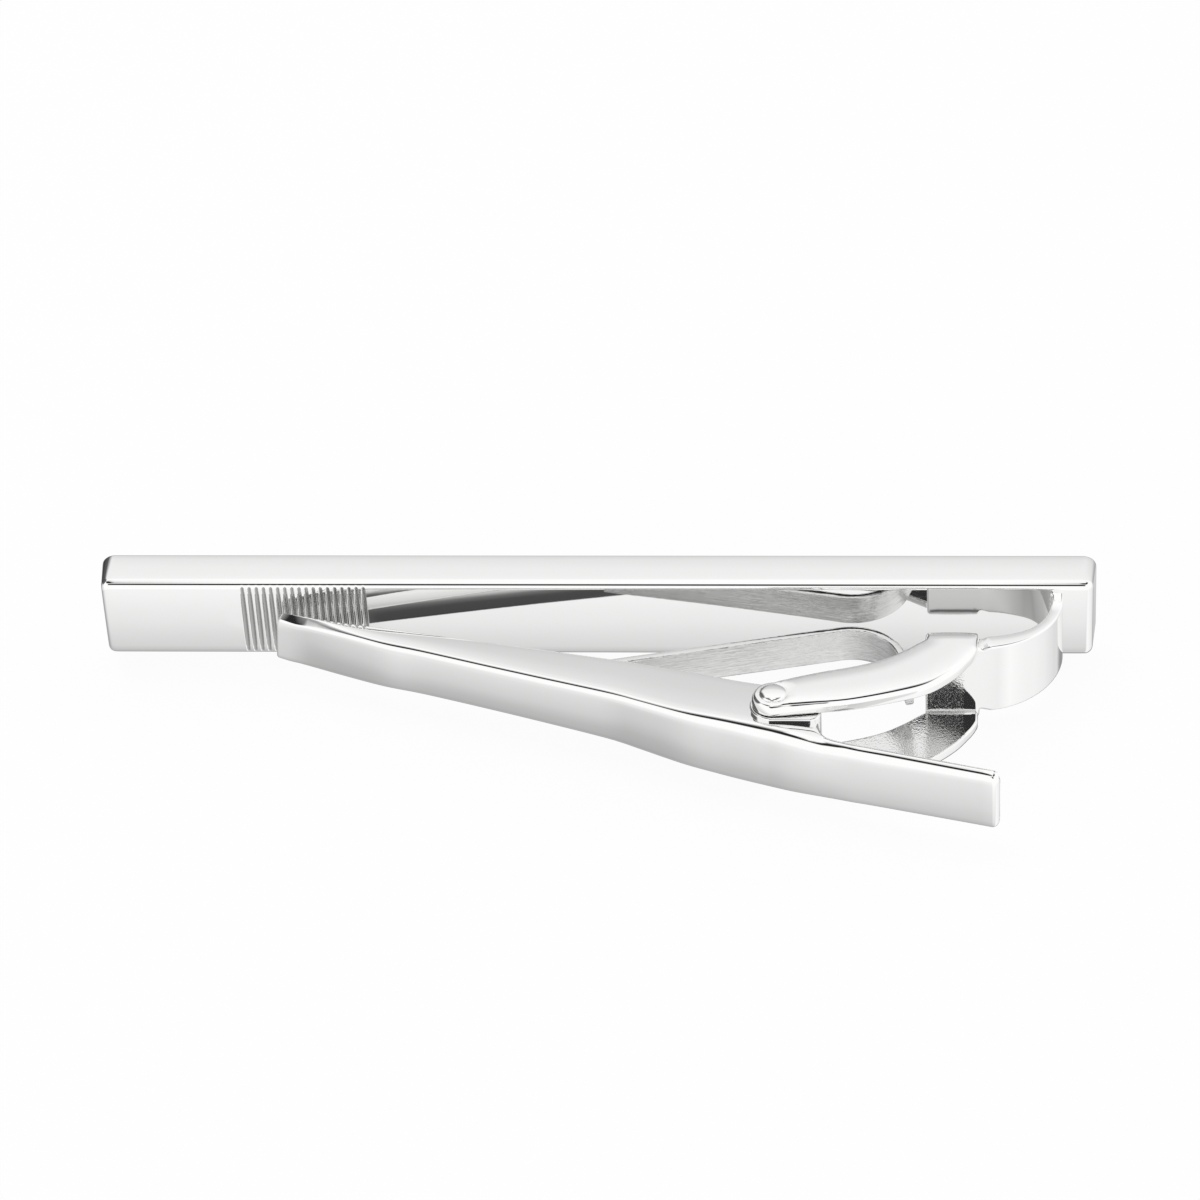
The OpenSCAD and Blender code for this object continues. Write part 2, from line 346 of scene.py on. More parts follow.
BAR_METAL = metal("bar_metal", SILVER, 0.03, swell=0.012)
# The grooves' darker colour is painted shade, the shade that falls into them; their higher roughness
# is their less polished floor.
GROOVE_SHADED_METAL = metal("bar_groove_shaded_metal", (0.46, 0.46, 0.455), 0.22, rough_var=0.05, tint=0.1,
                     grain=0.2)
CLASP_METAL = metal("clasp_metal", SILVER, 0.05, swell=0.02)
INNER_METAL = metal("clasp_inner_metal", (0.88, 0.88, 0.875), 0.07, swell=0.10, grain=1.0,
                    fine=9000.0)
SPRING_METAL = metal("spring_metal", (0.76, 0.76, 0.755), 0.09, swell=0.02, streaks=0.6)


# Front bar

# Length of the rounded zone at each end of the bar.
END_ZONE = 0.8
# Radii that round the ends off: the back at its left and right end, the top, the front.
END_BACK_LEFT_R, END_BACK_R, END_TOP_R, END_FRONT_R = 0.16, 0.4, 0.4, 0.25
# Radius of the front face's corners.
BROW_R = 0.8
# How fast the long edges sharpen into the ends, and how sharp they may get.
EDGE_FADE, LEAST_R = 0.8, 0.05
# Bulge of the front, top, back and bottom.
BAR_CROWN = [0.02, 0.015, 0.05, 0.015]
BAR_CELLS = [6, 6, 21, 6]
# Lines down the back, closer near its top edge.
BACK_LINES = np.concatenate([[-1, -.995, -.985, -.97], np.linspace(-.95, 1, 18)])
# Cross-sections within each groove's pitch, as shares of it.
GROOVE_CUTS = [-.5, -.4, -.335, -.3, -.29, -.26, -.2, -.1, 0, .1, .2, .26, .29, .3, .335, .4]
# A vertex is inside a groove, and takes the grooves' painted shade and rougher finish, where it lies
# deeper than the first value below and within the second, as a share of the groove's width.
DULL_SHADE_D, DULL_SHADE_SHARE = 0.02, 0.9


def groove_depth(x):
    """Depth at x, and whether it is inside a groove."""
    k = round((x - GROOVE_X) / PITCH)
    if not 0 <= k < GROOVES:
        return 0.0, False
    away = abs(x - GROOVE_X - k * PITCH) / (GROOVE_W / 2)
    lip = max(0.0, (PITCH / GROOVE_W - away) / (PITCH / GROOVE_W - 1))
    deep = GROOVE_D * math.sqrt(max(0.0, 1 - away * away))
    return max(deep, LIP_D * min(lip, 1.0) ** 2), away < DULL_SHADE_SHARE


def drawn_in(r, gap):
    """How far a rounded end of radius r draws a face in, at a distance gap from the end."""
    return r - math.sqrt(r * r - (r - gap) ** 2) if gap < r else 0


def front_bar():
    half = BAR_LEN / 2
    caps = [END_ZONE * (1 - math.cos(t)) for t in np.linspace(0, math.pi / 2, 14)]
    xs = [LEFT + cap for cap in caps]
    xs += list(np.linspace(LEFT + END_ZONE, GROOVE_X - PITCH / 2, 8)[1:-1])
    xs += [GROOVE_X + (k + cut) * PITCH for k in range(GROOVES) for cut in GROOVE_CUTS]
    xs += list(np.linspace(GROOVE_X + (GROOVES - 0.5) * PITCH, half - END_ZONE, 40)[:-1])
    xs += [half - cap for cap in caps[::-1]]
    rings, dull_and_shaded = [], []
    for x in xs:
        gap = min(half - x, x - LEFT)
        back = drawn_in(END_BACK_LEFT_R if x < 0 else END_BACK_R, gap)
        top = drawn_in(END_TOP_R, gap)
        front = drawn_in(END_FRONT_R, gap)
        brow = drawn_in(BROW_R, gap)
        back_r = max(BACK_R - EDGE_FADE * min(back, top), LEAST_R)
        front_r = max(FRONT_R - EDGE_FADE * min(front, top), LEAST_R)
        outline = section(-BAR_T + back, -front, -BAR_H / 2 + top, BAR_H / 2 - top,
                          [front_r, back_r, back_r, front_r], BAR_CROWN, BAR_CELLS, turn=12,
                          lines=BACK_LINES)
        y, z = outline[:, 0], outline[:, 1]
        z = z * (1 - (brow - top) * (y / BAR_T + 1) / (BAR_H / 2))
        deep, inside = groove_depth(x)
        sunk = np.where(y < -BAR_T / 2, np.maximum(y, -BAR_T + deep), y)
        dull_and_shaded.append((sunk > y + DULL_SHADE_D) & inside)
        x_all = x * (1 + DRAFT / half * (sunk + BAR_T) / BAR_T)
        rings.append(np.stack([x_all, sunk * (1 + BACK_LEAN * z / BAR_T), z], axis=1))
    verts, faces = loft(rings)
    ob = make("bar_body", verts, faces, BAR_METAL, "bar", ("front_bar",))
    # The groove floors get the painted shade: a darker colour, with a rougher finish.
    add_material(ob, GROOVE_SHADED_METAL, np.concatenate(dull_and_shaded))


# Yoke, as a flat blank in u (along the bar) and v (across) that is then folded and bent

# Radius of the folds' middle line, where the folds start and end across the blank, the line
# they turn about, and the pin's two spots on the blank.
FOLD_MID_R = FOLD_R + EAR_T / 2
FOLD_V0 = EAR_IN - FOLD_R
FOLD_V1 = FOLD_V0 + math.pi / 2 * FOLD_MID_R
FOLD_Y = WEB_Y - WEB_T - FOLD_R
PIN_V = FOLD_V1 + FOLD_Y - PIN_Y
PIN_SPOTS = [np.array([PIN_X, sign * PIN_V]) for sign in (1, -1)]
# Half width of the root, and how far it runs on into the bar.
ROOT_HALF_H = 2.08
ROOT_SINK = 0.3
# Edge of the neck from the root to the web: distance past the bend's centre, and half width.
NECK_TOP = [(5, 2.14), (3, 2.22), (1.4, 2.28), (0.7, 2.3)]
# Small notch between the neck and the fold of the ear.
NOTCH_R = 0.22
NOTCH_AT = (0.28, 2.34)
NOTCH_END = (0.02, 2.75)
# Corner between the web's left end and an ear, as steps from that end and from the fold's end.
WEB_CORNER = [(-0.07, -0.06), (0, -0.25)]
# Distances of the loops of vertices along the blank's rim, and the spacing of vertices.
RIM = [0.0, 0.008, 0.03, 0.065, 0.11, 0.165, 0.23, 0.3]
RIM_STEP = 0.11
# Passes that smooth the directions in which the loops follow each other.
RIM_PASSES = 3
GRID_STEP = 0.24
# Rows of an even triangular grid lie this share of its step apart.
ROW_SHARE = 0.866
GRID_MARGIN = 0.07
# Rings of vertices round each pin, inside a clear circle.
PIN_CLEAR = 1.1
PIN_RINGS = (0.2, 0.5, 0.72, 0.76, 0.8, 0.84)
# Softness of the meeting of the two curves inside the neck.
BLEND = 0.05
# Half width from which the strip takes on the ears' thickness, and the length over which it
# takes on their rounded rims.
EAR_T_FROM, EAR_RIM_FADE = 2.0, 0.7
# Radii of the rim: outer side at the neck, what an ear adds, and inner side.
RIM_R, EAR_RIM_R, IN_RIM_R = 0.13, 0.2, 0.12
# Near the pin: lower (-1) or upper (1) ear, extra radius, distance past the pin where it has
# faded out, and the length of the fade.
PIN_RIM = [(-1, 0.53, 4, 2), (1, 0.16, 3, 2)]
# Fall of an ear's outer face towards its rim, where it starts and how wide it is.
EAR_CROWN, EAR_CROWN_FROM, EAR_CROWN_W = 0.11, 0.05, 1.1
# Dished seat of the pin's head: depth, outer radius and width.
DISH_D, DISH_R, DISH_W = 0.1, 1.02, 0.27
# Flare of the root on the bar's back: size, length, how far past the bend's centre it starts,
# and the share of its quarter round that is used.
FLARE, FLARE_LEN, FLARE_FROM, FLARE_SHARE = 0.22, 0.35, 3, 0.995
# The neck's bend is stretched to the right by this factor.
NECK_STRETCH = 1.03
# Half width within which the blank past the bend's centre is neck.
NECK_LIMIT = 2.6
# Rise of the root's top edge near the bar.
ROOT_RISE, ROOT_RISE_AT, ROOT_RISE_LEN = 0.4, 5.9, 1.3
# The inner faces left of this distance before the neck have a coarser finish.
INNER_GAP = 0.6


def yoke_blank():
    """Upper half of the blank's outline, from the root round the ear to the middle line."""
    def lay(points):
        return np.stack([points[:, 0], FOLD_V1 + (FOLD_Y - points[:, 1])], axis=1)

    def ear(shares):
        return lay(smooth([(PIN_X + a * EAR_REACH, WEB_Y - b * EAR_FALL) for a, b in shares]))

    root = NECK_X + NECK_R * math.pi / 2 + ROOT_SINK
    top = [(root, ROOT_HALF_H)] + [(NECK_X + u, v) for u, v in NECK_TOP]
    notch = arc(NECK_X + NOTCH_AT[0], NOTCH_AT[1], NOTCH_R, 250, 150, 8)
    tip = arc(PIN_X, PIN_Y, EAR_END, 265, 95, 26)
    corner = [(WEB_X + u, FOLD_V1 + v) for u, v in WEB_CORNER]
    return np.concatenate([
        np.array(top), notch, [(NECK_X + NOTCH_END[0], NOTCH_END[1])], ear(EAR_NEAR), lay(tip),
        ear(EAR_FAR)[1:], corner + [(WEB_X, FOLD_V0), (WEB_X, 0)]])


def gap_to(points, poly):
    """Distance of each point from a closed outline."""
    a, b = poly, np.roll(poly, -1, axis=0)
    ab = b - a
    t = ((points[:, None] - a) * ab).sum(2) / np.maximum((ab * ab).sum(1), 1e-12)
    near = a + np.clip(t, 0, 1)[:, :, None] * ab
    return np.linalg.norm(points[:, None] - near, axis=2).min(axis=1)


def inside_of(points, poly):
    """Whether each point lies inside a closed outline."""
    inside = np.zeros(len(points), bool)
    x, y = points[:, 0], points[:, 1]
    for a, b in zip(poly, np.roll(poly, -1, axis=0)):
        cross = (a[1] > y) != (b[1] > y)
        cut = (b[0] - a[0]) * (y - a[1]) / (b[1] - a[1] + 1e-15) + a[0]
        inside ^= cross & (x < cut)
    return inside


def blank_mesh():
    """Vertices of the flat blank, their distances from its rim, the triangles inside the rim's
    loops, and the number of vertices in a loop."""
    half = yoke_blank()
    path = np.concatenate([half, (half * (1, -1))[::-1][1:]])
    total = lengths(path)[-1]
    line = at(path, np.linspace(0, total, int(total / RIM_STEP)))
    count = len(line)
    inward = inward_of(line)
    for _ in range(RIM_PASSES):
        inward = inward + 0.5 * (np.roll(inward, 1, axis=0) + np.roll(inward, -1, axis=0))
        inward /= np.linalg.norm(inward, axis=1)[:, None]
    loops = [line + inward * away_in for away_in in RIM]

    grid_u = np.arange(line[:, 0].min(), line[:, 0].max(), GRID_STEP)
    grid_v = np.arange(line[:, 1].min(), line[:, 1].max(), GRID_STEP * ROW_SHARE)
    grid = np.array([(u + (GRID_STEP / 2 if row % 2 else 0), v)
                     for row, v in enumerate(grid_v) for u in grid_u])
    pins = []
    for spot in PIN_SPOTS:
        grid = grid[np.linalg.norm(grid - spot, axis=1) > PIN_CLEAR]
        for radius in PIN_RINGS:
            pins.append(spot + arc(0, 0, radius, 0, 360, 49)[:-1])
    grid = np.concatenate([grid] + pins)
    away = gap_to(grid, line)
    keep = inside_of(grid, line) & (away > RIM[-1] + GRID_MARGIN)
    grid, away = grid[keep], away[keep]

    pts = [Vector(p) for p in loops[-1]] + [Vector(p) for p in grid]
    net = delaunay_2d_cdt(pts, [(i, (i + 1) % count) for i in range(count)], [], 1, 1e-6)
    rim_size = len(RIM) * count
    index, extra, extra_d = [], [], []
    for vert, source in zip(net[0], net[3]):
        k = source[0] if source else -1
        if 0 <= k < count:
            index.append(rim_size - count + k)
        else:
            index.append(rim_size + len(extra))
            extra.append(vert[:])
            extra_d.append(away[k - count] if k >= count else RIM[-1])
    flat = np.concatenate(loops + [np.array(extra)])
    dist = np.concatenate([np.repeat(RIM, count), np.array(extra_d)])
    return flat, dist, [tuple(index[i] for i in f) for f in net[2]], count


def thickness(u, v):
    """Thickness of the strip at a point of the blank.

    Inside the neck it ends at the nearer of two circles, seen from the bend's centre: a wide
    one that runs out of the web, and one that is concentric with the bend, at the root.
    """
    phi = np.clip((u - NECK_X) / NECK_R, 0, math.pi / 2)
    cx, cy = ROOT_FILLET, NECK_R - WEB_T - NECK_IN_R
    ahead = cy * np.cos(phi) - cx * np.sin(phi)
    wide = ahead + np.sqrt(ahead * ahead - (cx ** 2 + cy ** 2) + NECK_IN_R ** 2)
    root = NECK_R - NECK_ROOT_T
    inner_r = -BLEND * np.log(np.exp(-wide / BLEND) + np.exp(-root / BLEND))
    t = NECK_R - inner_r
    ear = ramp(np.abs(v) - EAR_T_FROM)
    return t * (1 - ear) + EAR_T * ear


def rounding(r, dist):
    """Height of a quarter round of radius r at a distance from its foot."""
    return np.sqrt(np.maximum(r ** 2 - np.maximum(r - dist, 0) ** 2, 0))


def faces_of(flat, dist):
    """Heights of the strip's outer and inner face above its inner plane."""
    u, v = flat[:, 0], flat[:, 1]
    ear = np.clip((np.abs(v) - EAR_IN) / EAR_RIM_FADE, 0, 1)
    rim_r = RIM_R + EAR_RIM_R * ear
    for sign, more, start, span in PIN_RIM:
        rim_r = rim_r + more * ear * (sign * v > 0) * np.clip((PIN_X + start - u) / span, 0, 1)
    outer = thickness(u, v) - rim_r + rounding(rim_r, dist)
    inner = IN_RIM_R - rounding(IN_RIM_R, dist)
    crown = np.clip((dist - EAR_CROWN_FROM) / EAR_CROWN_W, 0, 1)
    outer = outer - EAR_CROWN * ear * (1 - crown) ** 2
    for spot in PIN_SPOTS:
        away = np.linalg.norm(flat - spot, axis=1)
        outer = outer - DISH_D * ramp((DISH_R - away) / DISH_W)
    to_bar = NECK_R * math.pi / 2 - (u - NECK_X)
    near = np.clip(1 - to_bar / FLARE_LEN, 0, 1)
    flare = FLARE * (1 - np.sqrt(1 - np.minimum(near, FLARE_SHARE) ** 2))
    return outer + flare * (u > NECK_X + FLARE_FROM), inner


def place(u, v, w):
    """Fold and bend: the place in space of a point of the blank at height w."""
    out = np.zeros((len(u), 3))
    out[:, 0], out[:, 1], out[:, 2] = u, WEB_Y - WEB_T + w, v
    neck = (u > NECK_X) & (np.abs(v) < NECK_LIMIT)
    phi = (u - NECK_X) / NECK_R
    over = np.maximum(phi - math.pi / 2, 0) * NECK_R
    phi = np.minimum(phi, math.pi / 2)
    neck_x = NECK_X + (NECK_R * NECK_STRETCH - w) * np.sin(phi)
    neck_y = -BAR_T - (NECK_R - w) * np.cos(phi) + over
    out[neck, 0], out[neck, 1] = neck_x[neck], neck_y[neck]
    across = np.abs(v)
    fold = (across > FOLD_V0) & ~neck
    angle = np.clip((across - FOLD_V0) / FOLD_MID_R, 0, math.pi / 2)
    fold_y = FOLD_Y + (FOLD_R + w) * np.cos(angle) - np.maximum(across - FOLD_V1, 0)
    fold_z = FOLD_V0 + (FOLD_R + w) * np.sin(angle)
    out[fold, 1] = fold_y[fold]
    out[fold, 2] = (np.sign(v) * fold_z)[fold]
    rise = np.clip((u - NECK_X - ROOT_RISE_AT) / ROOT_RISE_LEN, 0, 1)
    out[:, 2] += ROOT_RISE * rise * rise * np.clip(v / 2, 0, 1) - DROP
    return out


def yoke():
    flat, dist, tris, count = blank_mesh()
    u, v = flat[:, 0], flat[:, 1]
    outer, inner = faces_of(flat, dist)
    verts = np.concatenate([place(u, v, outer), place(u, v, inner)])
    size = len(flat)
    faces = []
    for j in range(len(RIM) - 1):
        for i in range(count):
            a, b = j * count + i, j * count + (i + 1) % count
            c, d = (j + 1) * count + (i + 1) % count, (j + 1) * count + i
            faces.append((a, b, c, d))
            faces.append((d + size, c + size, b + size, a + size))
    for tri in tris:
        faces.append(tri)
        faces.append(tuple(q + size for q in reversed(tri)))
    for i in range(count):
        j = (i + 1) % count
        faces.append((i, i + size, j + size, j))
    ob = make("yoke_strip", verts, faces, CLASP_METAL, "bar", ("swan_neck_yoke",))
    add_material(ob, INNER_METAL, np.concatenate([np.zeros(size, bool), u < NECK_X - INNER_GAP]))


# Pin

PIN_SIDES = 56
# The domed head: its rise over the ear's face, the dome's height, its share of the head's radius.
HEAD_RISE, DOME_H, DOME_SHARE = 0.1, 0.2, 0.98
# Angles from the dome's top between which its rings lie.
DOME_TURN = (0.12, 1.5)
# Depths below the ear's face: top and bottom of the head's rim, and end of the shank.
RIM_TOP, RIM_LOW, SHANK_TOP = 0.09, 0.2, 0.22


def pin():
    top = EAR_IN + EAR_T
    rows = [(0, top + HEAD_RISE)]
    rows += [(HEAD_R * math.sin(a) * DOME_SHARE, top - HEAD_RISE + DOME_H * math.cos(a))
             for a in np.linspace(*DOME_TURN, 12)]
    rows += [(HEAD_R, top - RIM_TOP), (HEAD_R, top - RIM_LOW), (PIN_R, top - SHANK_TOP), (PIN_R, 0)]
    rows += [(radius, -z) for radius, z in rows[::-1][1:]]
    n = PIN_SIDES
    verts, faces = [], []
    for radius, z in rows:
        radius = max(radius, 1e-4)
        for i in range(n):
            a = 2 * math.pi * i / n
            verts.append((PIN_X + radius * math.cos(a), PIN_Y + radius * math.sin(a), z - DROP))
    for k in range(len(rows) - 1):
        for i in range(n):
            j = (i + 1) % n
            faces.append((k * n + i, (k + 1) * n + i, (k + 1) * n + j, k * n + j))
    faces.append(tuple(range(n)))
    faces.append(tuple(range(len(rows) * n - 1, (len(rows) - 1) * n - 1, -1)))
    make("pin_heads", verts, faces, CLASP_METAL, "bar", ("hinge_pin",))


# Arm

# Matching places on the front and back curve: by x, then on the front by the nearest point.
FRONT_X = [-9, 0, 8.6]
FRONT_SPOTS = [(11.5, -10), (12.9, -12.4), (13.1, -13.9), (14.2, -14.35)]
BACK_X = [-9.3, -0.5, 8.2, 10.2, 11.8, 12.9, 14.1]
STATIONS = [16, 14, 14, 14, 12, 12, 6, 14]
# Tables along x: radius of the back's top edge, depth of its bevel, and how far the lower face
# hangs down, as a share of half the height.
EDGE_R = ([-17, -12, 0, 6, 10, 22], [0.45, 0.4, 0.42, 0.55, 0.7, 0.7])
BEVEL_D = ([-17.9, -15, -12.3], [0.50, 0.30, 0.13])
LOW_HANG = ([-17.8, -17.4, -16.9, -16, 0, 5, 8, 12, 15],
            [-.10, -.01, .04, .08, .06, .03, .06, .06, .03])
# Radii of the other three edges, and the limit of all four as a share of the width.
OTHER_R = (0.2, 0.2, 0.25)
R_LIMITS = [0.7, 0.2, 0.3, 0.4]
LEAST_ARM_R = 0.03
# Bulge of the back and front face, and its limit as a share of the width.
BACK_CROWN, BACK_CROWN_SHARE = 0.05, 0.05
FRONT_CROWN, FRONT_CROWN_SHARE = 0.11, 0.1
# Bulge of the upper and the lower face.
UPPER_CROWN, LOWER_CROWN = 0.02, 0.015
ARM_CELLS = [14, 8, 14, 8]
# The bevel faces this far up from the back's direction; then its softness, and the limit of its
# depth as a share of the width and something more.
BEVEL_TURN = math.radians(57)
BEVEL = np.array([math.cos(BEVEL_TURN), math.sin(BEVEL_TURN)])
BEVEL_SOFT = 0.03
BEVEL_SHARE, BEVEL_MORE = 0.6, 0.1
# The nose's slant: length it fades over, shift to the right at the top and to the left below.
SLANT_LEN, SLANT_TOP, SLANT_LOW = 1.5, 0.28, 0.2
# Rise of the top face towards the back, and the arm's drop against the solid.
TOP_LEAN = 0.06
ARM_DROP = 0.03
# Rounding of the nose and of the lever's end: off the width, off the height, length, steps.
NOSE_ROUND = (0.1, 0.2, 0.15, 6)
LEVER_ROUND = (0.36, 0.6, 0.42, 9)
ARM_SHAPE = smooth(ARM_HEIGHT)


def arm_stations():
    """Matching points of the arm's front and back curve, from the nose to the lever's end."""
    def path(shares):
        return smooth([(NOSE_X + a * ARM_REACH, NOSE_Y - b * ARM_RISE) for a, b in shares])

    def by_x(curve, x):
        return lengths(curve)[np.argmax(curve[:, 0] >= x)]

    def nearest(curve, p):
        return lengths(curve)[np.argmin(np.linalg.norm(curve - np.array(p), axis=1))]

    def spread(keys):
        parts = [np.linspace(a, b, c + 1)[:-1] for a, b, c in zip(keys, keys[1:], STATIONS)]
        return np.concatenate(parts + [[keys[-1]]])

    front, back = path(ARM_FRONT), path(ARM_BACK)
    keys_f = [0] + [by_x(front, x) for x in FRONT_X] + [nearest(front, p) for p in FRONT_SPOTS]
    keys_b = [0] + [by_x(back, x) for x in BACK_X]
    return (at(front, spread(keys_f + [lengths(front)[-1]])),
            at(back, spread(keys_b + [lengths(back)[-1]])))


def arm_ring(front, back, x, less_w=0.0, less_h=0.0, ahead=(0.0, 0.0)):
    """Cross-section between a point of the front curve and one of the back curve.

    x: where the height is read; less_w, less_h: what a rounded end takes off;
    ahead: shift past the end of the curves.
    """
    half = ARM_H / 2 * np.interp((x - NOSE_X) / ARM_REACH, ARM_SHAPE[:, 0], ARM_SHAPE[:, 1])
    mid = (front + back) / 2
    across = back - front
    width = np.linalg.norm(across)
    across /= width
    full = (np.interp(mid[0], *EDGE_R), *OTHER_R)
    radii = [max(min(k, m * width) - EDGE_FADE * less_w, LEAST_ARM_R) for k, m in zip(full, R_LIMITS)]
    crown = [min(BACK_CROWN, BACK_CROWN_SHARE * width), UPPER_CROWN,
             min(FRONT_CROWN, FRONT_CROWN_SHARE * width), LOWER_CROWN]
    outline = section(-width / 2 + less_w, width / 2 - less_w, -half + less_h, half - less_h,
                      radii, crown, ARM_CELLS, turn=11)
    depth = min(np.interp(mid[0], *BEVEL_D), BEVEL_SHARE * width + BEVEL_MORE)
    beyond = (outline - (width / 2 - less_w, half - less_h)) @ BEVEL + depth
    outline = outline - (BEVEL_SOFT * np.log1p(np.exp(beyond / BEVEL_SOFT)))[:, None] * BEVEL
    level = outline[:, 1] / half
    near_tip = np.clip(1 - (mid[0] - NOSE_X) / SLANT_LEN, 0, 1)
    slant = SLANT_TOP * np.clip((level - 0.5) / 0.5, 0, 1)
    slant = slant - SLANT_LOW * np.clip((0.5 - level) / 1.5, 0, 1)
    lean = TOP_LEAN * (outline[:, 0] + width / 2) * np.clip(level, 0, 1)
    hang = np.clip(-level, 0, 1) * half * np.interp(mid[0], *LOW_HANG)
    pos = mid + np.array(ahead) + across * outline[:, :1]
    return np.stack([pos[:, 0] + slant * near_tip, pos[:, 1],
                     outline[:, 1] + lean - hang - ARM_DROP - DROP], axis=1)


def arm_end(front, back, way, shape):
    """Rings of a rounded end past a station, from the station outwards."""
    off_w, off_h, length, steps = shape
    way = way / np.linalg.norm(way)
    rings = []
    for turn in np.linspace(0, math.pi / 2, steps)[1:]:
        less = 1 - math.cos(turn)
        rings.append(arm_ring(front, back, front[0], off_w * less, off_h * less,
                              way * length * math.sin(turn)))
    return rings


def arm():
    front, back = arm_stations()
    rings = arm_end(front[0], back[0], front[0] - front[1], NOSE_ROUND)[::-1]
    rings += [arm_ring(f, b, (f[0] + b[0]) / 2) for f, b in zip(front, back)]
    rings += arm_end(front[-1], back[-1], back[-1] - back[-2], LEVER_ROUND)
    verts, faces = loft(rings)
    make("arm_casting", verts, faces, CLASP_METAL, "arm", ("clip_arm",))


# Lug, a mesh of its own that runs into the arm's casting

LUG_EDGE_R = 0.12
# Radii of the lug's two corners away from the pin, on its back and front side.
LUG_LOW_R, LUG_TOP_R = 0.55, 0.85
# Distances past the pin of the points on its back side and of the one on its front side.
LUG_LOW_X, LUG_TOP_X = (0.8, 1.5), 0.6
# How far the front corner is set in, and how far to the front of the pin's middle the point
# between the corners lies.
LUG_TOP_IN, LUG_SIDE_Y = 0.3, 0.3


def plate(outline, half, edge_r):
    """Slab from a smooth outline, edges rounded."""
    inward = inward_of(outline)
    turn = np.linspace(math.pi / 2, 0, 7)
    rings = []
    for side, angles in ((-1, turn), (1, turn[::-1])):
        for t in angles:
            line = outline + inward * edge_r * (1 - math.cos(t))
            z = side * (half - edge_r + edge_r * math.sin(t)) - DROP
            rings.append(np.column_stack([line, np.full(len(line), z)]))
    return loft(rings)


def lug():
    x1 = PIN_X + LUG_LEN - LUG_LOW_R
    y0 = PIN_Y - LUG_R
    y1 = PIN_Y + LUG_R
    line = np.concatenate([
        arc(PIN_X, PIN_Y, LUG_R, 90, 270, 28), [(PIN_X + x, y0) for x in LUG_LOW_X],
        arc(x1, y0 + LUG_LOW_R, LUG_LOW_R, 270, 360, 12),
        [(x1 + LUG_LOW_R, PIN_Y + LUG_SIDE_Y)],
        arc(x1 - LUG_TOP_IN, y1 - LUG_TOP_R, LUG_TOP_R, 0, 90, 12), [(PIN_X + LUG_TOP_X, y1)]])
    verts, faces = plate(line, LUG_HALF, LUG_EDGE_R)
    make("arm_lug", verts, faces, CLASP_METAL, "arm")


# Leaf spring

STRIP_R = 0.12
STRIP_CROWN = [0.02, 0.005, 0.02, 0.005]
# How far the straight stretches stop short of the crown's arc.
RUN_GAP, LEG_GAP = 0.2, 0.1
# Rounding of the free end: off the thickness, off the height, length, steps.
LEG_ROUND = (0.1, 0.35, 0.01, 7)


def strip(less_t=0.0, less_h=0.0):
    a, b = SPRING_T / 2 - less_t, SPRING_H / 2 - less_h
    return section(-a, a, -b, b, [STRIP_R] * 4, STRIP_CROWN, [12, 3, 12, 3], turn=6)


def spring():
    mid = CROWN_R - SPRING_T / 2
    turn = 90 + RUN_SLOPE
    centre = np.array([CROWN_X, CROWN_Y])
    a, b = math.radians(turn), math.radians(LEG_SLOPE)
    start = centre + mid * np.array([math.cos(a), math.sin(a)])
    back = np.array([-math.sin(a), math.cos(a)])
    stop = centre + mid * np.array([math.cos(b), math.sin(b)])
    down = np.array([math.sin(b), -math.cos(b)])
    path = np.concatenate([[start + back * d for d in np.linspace(RUN_LEN, RUN_GAP, 40)],
                           arc(centre[0], centre[1], mid, turn, LEG_SLOPE, 40),
                           [stop + down * d for d in np.linspace(LEG_GAP, LEG_LEN, 12)]])
    tang = np.gradient(path, axis=0)
    tang /= np.linalg.norm(tang, axis=1)[:, None]
    side = np.stack([-tang[:, 1], tang[:, 0]], axis=1)
    along = lengths(path)
    rings, uv = [], []

    def add(i, outline, ahead):
        xy = path[i] + tang[i] * ahead + side[i] * outline[:, :1]
        rings.append(np.column_stack([xy, outline[:, 1] - DROP]))
        uv.extend((along[i], p[1]) for p in outline)

    for i in range(len(path)):
        add(i, strip(), 0.0)
    off_t, off_h, length, steps = LEG_ROUND
    for t in np.linspace(0, math.pi / 2, steps)[1:]:
        less = 1 - math.cos(t)
        add(-1, strip(off_t * less, off_h * less), length * math.sin(t))
    verts, faces = loft(rings)
    make("spring_strip", verts, faces, SPRING_METAL, "arm", ("leaf_spring",), uv=uv)


front_bar()
yoke()
pin()
arm()
lug()
spring()


# Camera

# Angles in radians, lengths in millimetres, and the focal length in pixels of the frame.
CAM_PITCH, CAM_YAW, CAM_ROLL = 0.684, 0.089, -0.055
CAM_TARGET = (0.13, 0, -0.61)
CAM_AWAY = 324.7
FOCAL_PX, FRAME_PX = 5776, 1200
SENSOR = 36

ahead = Vector((-math.sin(CAM_YAW) * math.cos(CAM_PITCH), math.cos(CAM_YAW) * math.cos(CAM_PITCH),
                -math.sin(CAM_PITCH)))
right = ahead.cross(Vector((0, 0, 1))).normalized()
up = right.cross(ahead)
cr, sr = math.cos(CAM_ROLL), math.sin(CAM_ROLL)
right, up = right * cr + up * sr, up * cr - right * sr
eye = Vector(CAM_TARGET) * MM - ahead * CAM_AWAY * MM
cam_data = bpy.data.cameras.new("camera")
cam_data.lens = FOCAL_PX / FRAME_PX * SENSOR
cam_data.sensor_width = SENSOR
cam_data.clip_start = 0.01
cam_data.clip_end = 10
cam = bpy.data.objects.new("camera", cam_data)
cam.matrix_world = Matrix.Translation(eye) @ Matrix((right, up, -ahead)).transposed().to_4x4()
scene.collection.objects.link(cam)
scene.camera = cam


# Floor, plain white to the camera and left out of the reflections

FLOOR_GAP = 0.02
FLOOR_HALF = 0.6
FLOOR_GREY = 0.86
# Share of plain white that the camera sees on the floor; the rest takes the shadow.
FLOOR_WHITE = 0.94


